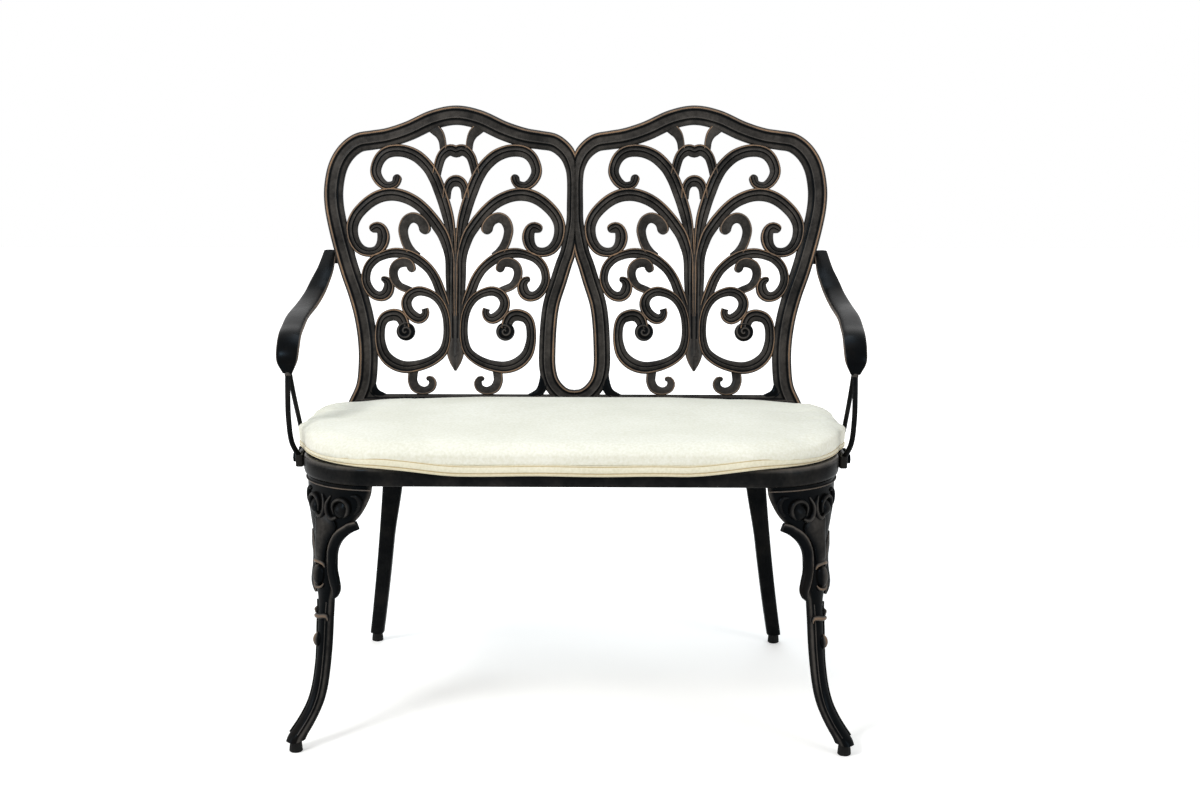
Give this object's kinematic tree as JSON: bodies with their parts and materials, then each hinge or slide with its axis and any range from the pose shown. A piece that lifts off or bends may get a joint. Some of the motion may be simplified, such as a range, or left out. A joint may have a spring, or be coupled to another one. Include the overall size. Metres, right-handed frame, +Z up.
{
  "type": "cast aluminium bench",
  "caption": "Cast aluminium patio bench with a scrolled openwork back, rolled arms, curved carved legs, levelling feet and a loose seat cushion.",
  "frame": {"origin": "middle of the bounding box's base, on the floor under the bench", "axes": "+Z up, +X to the right in a front view, +Y towards the back; a sitter faces -Y"},
  "size_m": [0.8776, 0.5568, 0.9262],
  "materials": {
    "bronze_paint": "satin antique bronze paint over the casting",
    "zinc_steel": "zinc plated",
    "black_nylon": "matt",
    "ivory_cloth": "plain woven cover"
  },
  "bodies": {
    "bench": {"seat_casting": "bronze_paint", "back_panel": "bronze_paint", "arm_left": "bronze_paint", "arm_right": "bronze_paint", "front_leg_left": "bronze_paint", "front_leg_right": "bronze_paint", "rear_leg_left": "bronze_paint", "rear_leg_right": "bronze_paint", "leg_bolt_front_left_1": "zinc_steel", "leg_washer_front_left_1": "zinc_steel", "leg_bolt_front_left_2": "zinc_steel", "leg_washer_front_left_2": "zinc_steel", "leg_bolt_front_right_1": "zinc_steel", "leg_washer_front_right_1": "zinc_steel", "leg_bolt_front_right_2": "zinc_steel", "leg_washer_front_right_2": "zinc_steel", "leg_bolt_rear_left_1": "zinc_steel", "leg_washer_rear_left_1": "zinc_steel", "leg_bolt_rear_left_2": "zinc_steel", "leg_washer_rear_left_2": "zinc_steel", "leg_bolt_rear_right_1": "zinc_steel", "leg_washer_rear_right_1": "zinc_steel", "leg_bolt_rear_right_2": "zinc_steel", "leg_washer_rear_right_2": "zinc_steel", "back_bolt_1": "zinc_steel", "back_washer_1": "zinc_steel", "back_bolt_2": "zinc_steel", "back_washer_2": "zinc_steel", "back_bolt_3": "zinc_steel", "back_washer_3": "zinc_steel", "back_bolt_4": "zinc_steel", "back_washer_4": "zinc_steel", "arm_bolt_left_1": "zinc_steel", "arm_washer_left_1": "zinc_steel", "arm_bolt_left_2": "zinc_steel", "arm_washer_left_2": "zinc_steel", "arm_bolt_left_3": "zinc_steel", "arm_washer_left_3": "zinc_steel", "arm_bolt_right_1": "zinc_steel", "arm_washer_right_1": "zinc_steel", "arm_bolt_right_2": "zinc_steel", "arm_washer_right_2": "zinc_steel", "arm_bolt_right_3": "zinc_steel", "arm_washer_right_3": "zinc_steel"},
    "leveller_front_left": {"leveller_pad_front_left": "black_nylon", "leveller_stud_front_left": "zinc_steel"},
    "leveller_front_right": {"leveller_pad_front_right": "black_nylon", "leveller_stud_front_right": "zinc_steel"},
    "leveller_rear_left": {"leveller_pad_rear_left": "black_nylon", "leveller_stud_rear_left": "zinc_steel"},
    "leveller_rear_right": {"leveller_pad_rear_right": "black_nylon", "leveller_stud_rear_right": "zinc_steel"},
    "cushion": {"seat_cushion": "ivory_cloth"}
  },
  "joints": [
    {"name": "leveller_front_left_screw", "type": "slide", "parent": "bench", "child": "leveller_front_left", "axis": [0, 0, -1], "range_m": [0, 0.006]},
    {"name": "leveller_front_right_screw", "type": "slide", "parent": "bench", "child": "leveller_front_right", "axis": [0, 0, -1], "range_m": [0, 0.006]},
    {"name": "leveller_rear_left_screw", "type": "slide", "parent": "bench", "child": "leveller_rear_left", "axis": [0, 0, -1], "range_m": [0, 0.006]},
    {"name": "leveller_rear_right_screw", "type": "slide", "parent": "bench", "child": "leveller_rear_right", "axis": [0, 0, -1], "range_m": [0, 0.006]},
    {"name": "cushion_lift", "type": "slide", "parent": "bench", "child": "cushion", "axis": [0, 0, 1], "range_m": [0, 0.09]}
  ]
}
